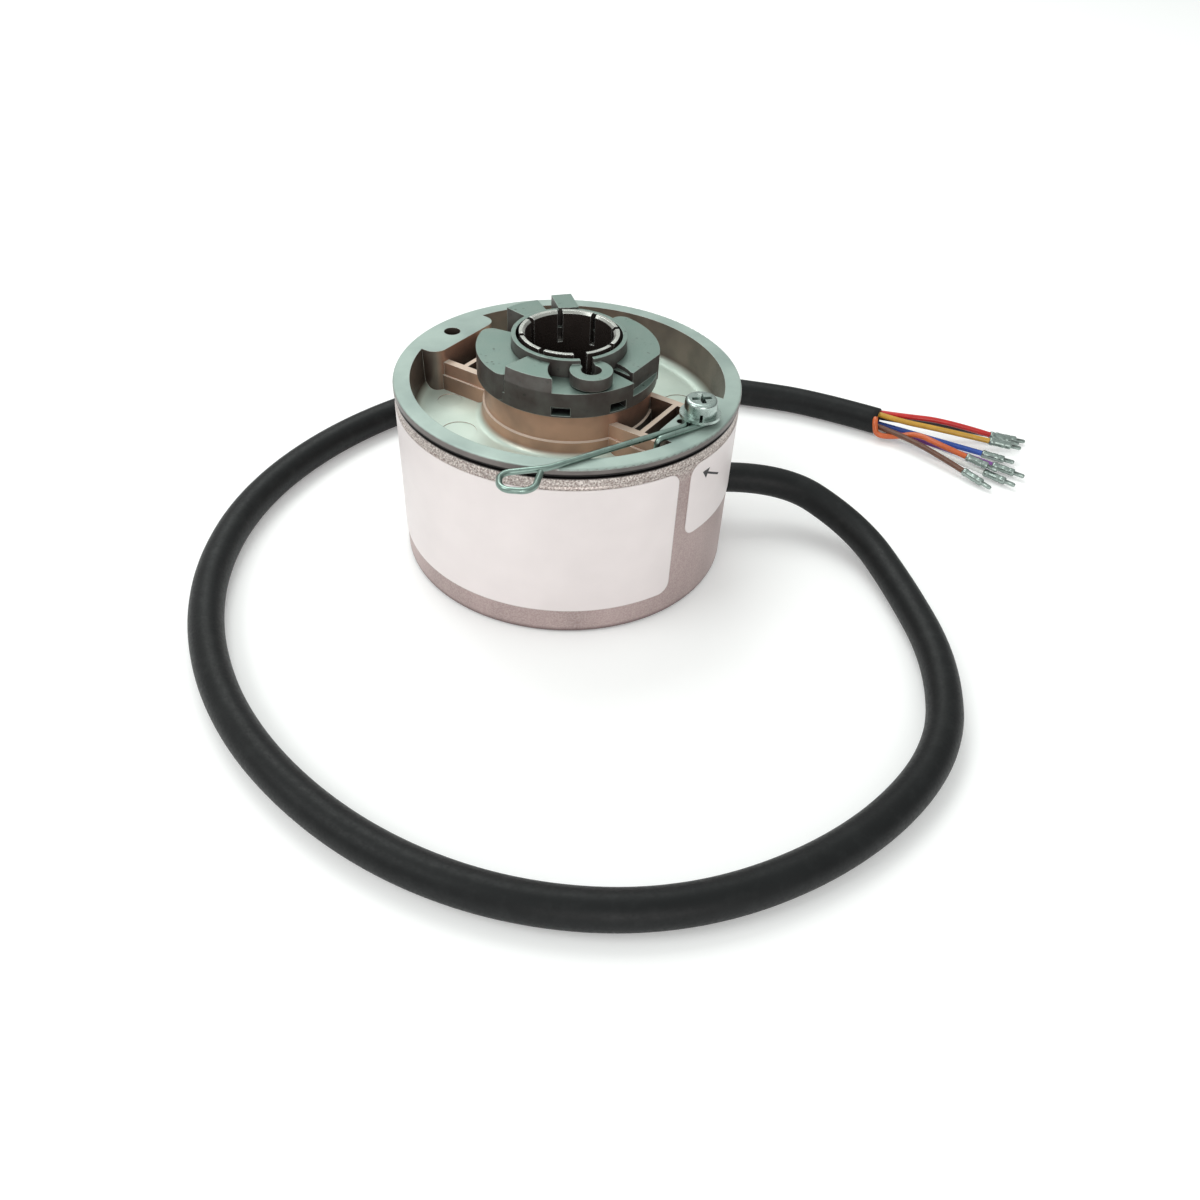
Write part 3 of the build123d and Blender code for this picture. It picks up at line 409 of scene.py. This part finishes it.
def pitted_metal(name, painted_top, painted_side, rough):
    """Dark sintered metal with small pits and a faint oily film, painted light on faces that look up, and
    painted shade on sides and in hollows.
    """
    material, tree, shader = new_material(name, Metallic=0.5)
    # Painted light on faces that look up, painted shade on sides
    base = mix(tree, facing_up(tree), painted_side, painted_top)
    spread = fade(tree, noise(tree, 3.5, detail=3.0), 0.52, 0.66)
    pits = multiply(tree, fade(tree, cells(tree, 0.9), 0.34, 0.16), spread)
    pitted = mix(tree, multiply(tree, pits, 0.7), base, CLAMP_PIT)
    film = fade(tree, noise(tree, 5.0, detail=4.0), 0.35, 0.75, high=0.3)
    oily = mix(tree, film, pitted, CLAMP_FILM)
    # Painted shade in hollows
    shaded = mix(tree, shelter(tree, 3.0, start=0.45, end=0.15), oily, CLAMP_SHADE)
    edge_lightened = with_edges(tree, shaded, width=0.18, share=0.6, colour=CLAMP_EDGE)
    fine = noise(tree, 0.18, detail=3.0)
    relief = bump(tree, combine(tree, "SUBTRACT", fine, pits), depth=0.02, normal=rounded_normal(tree, 0.15))
    finish_shader(tree, shader, edge_lightened, fine, rough=(rough - 0.06, rough + 0.12), normal=relief)
    return material


def plastic(name, colour, rough, depth=0.01, coat=0.0):
    """Moulded plastic or rubber with faint speckles and grain."""
    material, tree, shader = new_material(name, Coat_Weight=coat, Coat_Roughness=0.25)
    fine = noise(tree, 0.4, detail=3.0)
    lighter = [min(1.0, each * 1.6 + 0.01) for each in colour[:3]] + [1]
    speckles = fade(tree, noise(tree, 2.0, detail=3.0), 0.45, 0.75, high=0.36)
    tone = mix(tree, speckles, colour, lighter)
    relief = bump(tree, fine, depth)
    finish_shader(tree, shader, tone, fine, rough=(rough - 0.05, rough + 0.07), normal=relief)
    return material


def label_film(name):
    """White adhesive film, a little pink, with a soft ripple and a faint grey at its edges."""
    material, tree, shader = new_material(name, Coat_Weight=0.25, Coat_Roughness=0.3)
    tone = mix(tree, fade(tree, noise(tree, 9.0, detail=3.0), 0.3, 0.75), *FILM)
    edged = with_edges(tree, tone, width=0.3, share=0.5, colour=FILM_EDGE)
    ripple = bump(tree, noise(tree, 6.0), depth=0.05)
    finish_shader(tree, shader, edged, noise(tree, 0.3), rough=(0.42, 0.52), normal=ripple)
    return material


def jacket_skin(name):
    """Matt black jacket of the lead, with dust, faint rubs and a fine skin."""
    material, tree, shader = new_material(name, Specular_IOR_Level=0.26)
    rubs = fade(tree, noise(tree, 14.0, detail=4.0), 0.45, 0.75, high=0.5)
    dust = fade(tree, noise(tree, 2.2, detail=5.0), 0.5, 0.8, high=0.3)
    dusty = mix(tree, dust, mix(tree, rubs, *JACKET), JACKET_DUST)
    relief = bump(tree, noise(tree, 0.35, detail=3.0), depth=0.015)
    finish_shader(tree, shader, dusty, noise(tree, 0.5, detail=3.0), rough=(0.42, 0.56), normal=relief)
    return material


def dress(material, *names):
    """Gives CAD nodes a material."""
    for name in names:
        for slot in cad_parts[name].material_slots:
            slot.material = material


def round_cord(name, points, radius, material, roundness=8):
    """Curve of round section on one smooth spline, its points in millimetres."""
    curve = bpy.data.curves.new(name, "CURVE")
    curve.dimensions = "3D"
    spline = curve.splines.new("NURBS")
    spline.points.add(len(points) - 1)
    for target, point in zip(spline.points, points):
        target.co = (*(Vector(point) * MM), 1)
    spline.order_u = 3
    spline.use_endpoint_u = True
    curve.resolution_u = 20
    curve.bevel_depth = radius * MM
    curve.bevel_resolution = roundness
    curve.use_fill_caps = True
    curve.materials.append(material)
    return link_object(name, curve)


def along(origin, direction):
    """Place whose z axis points along a direction, from an origin in millimetres."""
    turn = Vector(direction).to_track_quat("Z", "Y").to_matrix().to_4x4()
    return Matrix.Translation(Vector(origin) * MM) @ turn


def lathe(name, profile, place, material, steps=40):
    """Turned piece from radii and heights in millimetres, stood along the z axis of its place."""
    turns = [2 * pi * step / steps for step in range(steps)]
    points = [(r * cos(t) * MM, r * sin(t) * MM, z * MM) for r, z in profile for t in turns]
    faces = []
    for row in range(len(profile) - 1):
        first = row * steps
        above = first + steps
        for step in range(steps):
            after = (step + 1) % steps
            faces.append((first + step, first + after, above + after, above + step))
    mesh = bpy.data.meshes.new(name)
    mesh.from_pydata([tuple(place @ Vector(point)) for point in points], [], faces)
    mesh.materials.append(material)
    mesh.shade_smooth()
    return link_object(name, mesh)


# Materials of the nodes that stay
casting = cast_metal("cast_aluminium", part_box("cover_seal")[1][2] / MM)
can = can_skin("can_metal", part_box("rear_cover")[1][2] / MM)
# Clamp and metal parts: the first colour is painted light on their tops, the second painted shade on their
# sides
clamp_metal = pitted_metal("clamp_metal", (0.195, 0.28, 0.245, 1), (0.074, 0.058, 0.054, 1), rough=0.34)
shaft_steel = metal(
    "shaft_steel", (0.68, 0.70, 0.65, 1), (0.10, 0.080, 0.072, 1),
    grain=1.5, depth=0.002, rough=0.26, metallic=0.75,
)
plated = polished("zinc_steel", (0.46, 0.55, 0.515, 1), rough=0.27, shade=(0.04, 0.048, 0.044, 1))
spring = polished("spring_steel", (0.27, 0.365, 0.325, 1), rough=0.30)
race_steel = metal(
    "bearing_steel", (0.60, 0.61, 0.60, 1), (0.55, 0.55, 0.54, 1),
    grain=0.5, depth=0.003, rough=0.22, metallic=1.0,
)
turned_metal = metal(
    "hub_metal", (0.60, 0.60, 0.58, 1), (0.52, 0.52, 0.50, 1),
    grain=0.4, depth=0.006, rough=0.34,
)
rubber = plastic("seal_rubber", (0.012, 0.011, 0.011, 1), rough=0.62, depth=0.02)
cage_resin = plastic("cage_plastic", (0.20, 0.12, 0.05, 1), rough=0.45)
board_green = plastic("board_laminate", (0.015, 0.11, 0.045, 1), rough=0.38, coat=0.3)
chip_resin = plastic("chip_plastic", (0.025, 0.025, 0.028, 1), rough=0.5)
disc_film = plastic("disc_film", (0.10, 0.11, 0.12, 1), rough=0.16, coat=0.5)
label_white = label_film("label_film")
dress(casting, "flange_housing")
dress(can, "rear_cover")
dress(rubber, "cover_seal", "cable_grommet")
dress(shaft_steel, "hollow_shaft")
dress(clamp_metal, "clamp_ring", "clamp_collar")
dress(race_steel, "front_inner_race", "front_outer_race", "front_balls")
dress(race_steel, "rear_inner_race", "rear_outer_race", "rear_balls", "preload_washer")
dress(cage_resin, "front_cage", "rear_cage")
dress(turned_metal, "bearing_spacer", "bearing_shield", "disc_hub", "cable_clamp")
dress(spring, "torque_wire", "retaining_ring")
dress(plated, "flat_washer", "spring_washer", "lug_screw", "board_screws")
dress(disc_film, "code_disc")
dress(board_green, "circuit_board")
dress(chip_resin, "light_source", "sensor_block", "board_connector", "inner_harness")
dress(label_white, "main_label", "arrow_label")

# Lead: jacket, its cut end, and the cores with their ferrules
jacket_end = Vector(JACKET_ROUTE[-1])
ahead = (jacket_end - Vector(JACKET_ROUTE[-2])).normalized()
left = Vector((0, 0, 1)).cross(ahead)


def core_place(point):
    """Point by its distances ahead, to the left and above the jacket's end."""
    return jacket_end + ahead * point[0] + left * point[1] + Vector((0, 0, point[2]))


def strip_core(colour, points, tin):
    """One core and the ferrule on its end."""
    route = [core_place(point) for point in points]
    skin = plastic(f"core_{colour}", CORE_COLOURS[colour], rough=0.36, coat=0.2)
    core = round_cord(f"conductor_{colour}", route, CORE_R, skin)
    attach(core, "housing")
    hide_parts(f"core_{colour}")
    ferrule = lathe(f"ferrule_{colour}", FERRULE, along(route[-1], route[-1] - route[-2]), tin, steps=20)
    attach(ferrule, "housing")
    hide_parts("wire_ferrules")
    return [core, ferrule]


jacket_black = jacket_skin("jacket_skin")
jacket = round_cord("lead_jacket", JACKET_ROUTE, CABLE_R, jacket_black, roundness=12)
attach(jacket, "housing")
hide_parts("cable_jacket")
cut_end = lathe("jacket_end", END_WALL, along(jacket_end, ahead), jacket_black)
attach(cut_end, "housing")
on_lead = [cut_end]
ferrule_tin = polished("ferrule_tin", (0.36, 0.43, 0.40, 1), rough=0.33)
for colour, points in CORE_POINTS.items():
    on_lead += strip_core(colour, points, ferrule_tin)


def on_can(azimuth, z):
    """Point just proud of the label film."""
    radius = LABEL_R + PRINT_LIFT
    turn = radians(azimuth)
    return Vector((radius * cos(turn), radius * sin(turn), z)) * MM


def printed_strip(name, start, end, width, end_width, material):
    """Thin printed line or wedge between two points on the can, each an azimuth and a height."""
    arc = radians(1) * COVER_R
    run = Vector(((end[0] - start[0]) * arc, end[1] - start[1]))
    sideways = Vector((-run.y, run.x)).normalized()
    steps = 8
    points = []
    for step in range(steps + 1):
        share = step / steps
        across = sideways * (width + (end_width - width) * share) / 2
        azimuth = start[0] + (end[0] - start[0]) * share
        z = start[1] + (end[1] - start[1]) * share
        points.append(on_can(azimuth + across.x / arc, z + across.y))
        points.append(on_can(azimuth - across.x / arc, z - across.y))
    faces = [(2 * s, 2 * s + 1, 2 * s + 3, 2 * s + 2) for s in range(steps)]
    mesh = bpy.data.meshes.new(name)
    mesh.from_pydata([tuple(point) for point in points], [], faces)
    mesh.materials.append(material)
    made = link_object(name, mesh)
    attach(made, "housing")


# Arrow on the second label
ink = plastic("label_ink", (0.03, 0.028, 0.03, 1), rough=0.5)
printed_strip("arrow_shaft", ARROW_NECK, ARROW_TAIL, width=0.38, end_width=0.38, material=ink)
printed_strip("arrow_head", ARROW_TIP, ARROW_NECK, width=0.1, end_width=1.9, material=ink)


def light_panel(name, place, target, size, power, colour):
    """Soft square lamp that faces a target, in metres."""
    data = bpy.data.lights.new(name, "AREA")
    data.shape = "SQUARE"
    data.size = size
    data.energy = power
    data.color = colour
    lamp = link_object(name, data)
    facing = (Vector(target) - Vector(place)).to_track_quat("-Z", "Y")
    lamp.matrix_world = Matrix.Translation(place) @ facing.to_matrix().to_4x4()


def build_floor():
    """Wide pale floor that renders white away from the object and keeps its shadow."""
    corners = [(-1, -1, 0), (1, -1, 0), (1, 1, 0), (-1, 1, 0)]
    mesh = bpy.data.meshes.new("floor")
    mesh.from_pydata([Vector(corner) * FLOOR_REACH * MM for corner in corners], [], [(0, 1, 2, 3)])
    floor = link_object("floor", mesh)
    material = bpy.data.materials.new("floor_white")
    material.use_nodes = True
    tree = material.node_tree
    tree.nodes.clear()
    path = add_node(tree, "LightPath").outputs
    direct = combine(tree, "MAXIMUM", path["Is Camera Ray"], path["Is Glossy Ray"])
    seen = combine(tree, "MAXIMUM", direct, path["Is Transmission Ray"])
    diffuse = add_node(tree, "BsdfDiffuse", {"Color": FLOOR})
    glow = add_node(tree, "Emission", {"Color": (1, 1, 1, 1), "Strength": multiply(tree, seen, FLOOR_LIFT)})
    both = add_node(tree, "AddShader", {0: diffuse.outputs[0], 1: glow.outputs[0]})
    out = add_node(tree, "OutputMaterial", {"Surface": both.outputs[0]})
    out.is_active_output = True
    mesh.materials.append(material)


def build_world():
    """Soft surroundings: pale near the floor, a belt that darkens to the right, and bright overhead."""
    world = bpy.data.worlds.new("studio")
    world.use_nodes = True
    tree = world.node_tree
    background = tree.nodes["Background"]
    direction = add_node(tree, "TexCoord").outputs["Generated"]
    axes = add_node(tree, "SeparateXYZ", {0: direction}).outputs
    belt = mix(tree, fade(tree, axes["X"], -0.7, 0.7), *SKY_BELT)
    upper = mix(tree, fade(tree, axes["Z"], 0.25, 0.6), belt, SKY_HIGH)
    sky = mix(tree, fade(tree, axes["Z"], 0.08, 0.25), SKY_LOW, upper)
    plug(tree, background.inputs["Color"], sky)
    background.inputs["Strength"].default_value = SKY_STRENGTH
    bpy.context.scene.world = world


def place_camera():
    """Camera from its place, its angle below level and its roll."""
    data = bpy.data.cameras.new("camera")
    data.lens = CAMERA_LENS
    data.sensor_width = CAMERA_SENSOR
    data.clip_start = CAMERA_NEAR * MM
    facing = Vector((0, cos(CAMERA_DOWN), -sin(CAMERA_DOWN)))
    level_up = Vector((0, sin(CAMERA_DOWN), cos(CAMERA_DOWN)))
    right = Vector((1, 0, 0)) * cos(CAMERA_ROLL) + level_up * sin(CAMERA_ROLL)
    turn = Matrix((right, right.cross(facing), -facing)).transposed().to_4x4()
    camera = link_object("camera", data)
    camera.matrix_world = Matrix.Translation(Vector(CAMERA_PLACE) * MM) @ turn
    bpy.context.scene.camera = camera


# Floor, surroundings, lamps and camera
build_floor()
build_world()
light_panel(
    "key_lamp", place=(-0.2, 0.5, 0.78), target=(0, 0, 0),
    size=0.5, power=3.2, colour=(0.97, 1.0, 0.98),
)
light_panel(
    "side_lamp", place=(-0.6, -0.25, 0.68), target=(0, 0, 0.02),
    size=0.4, power=2.0, colour=(0.98, 1.0, 0.99),
)
light_panel(
    "front_lamp", place=(0.16, -0.85, 0.33), target=(0, 0, 0.02),
    size=0.45, power=2.2, colour=(1.0, 0.97, 0.96),
)
place_camera()
bpy.context.scene.view_settings.view_transform = "Standard"
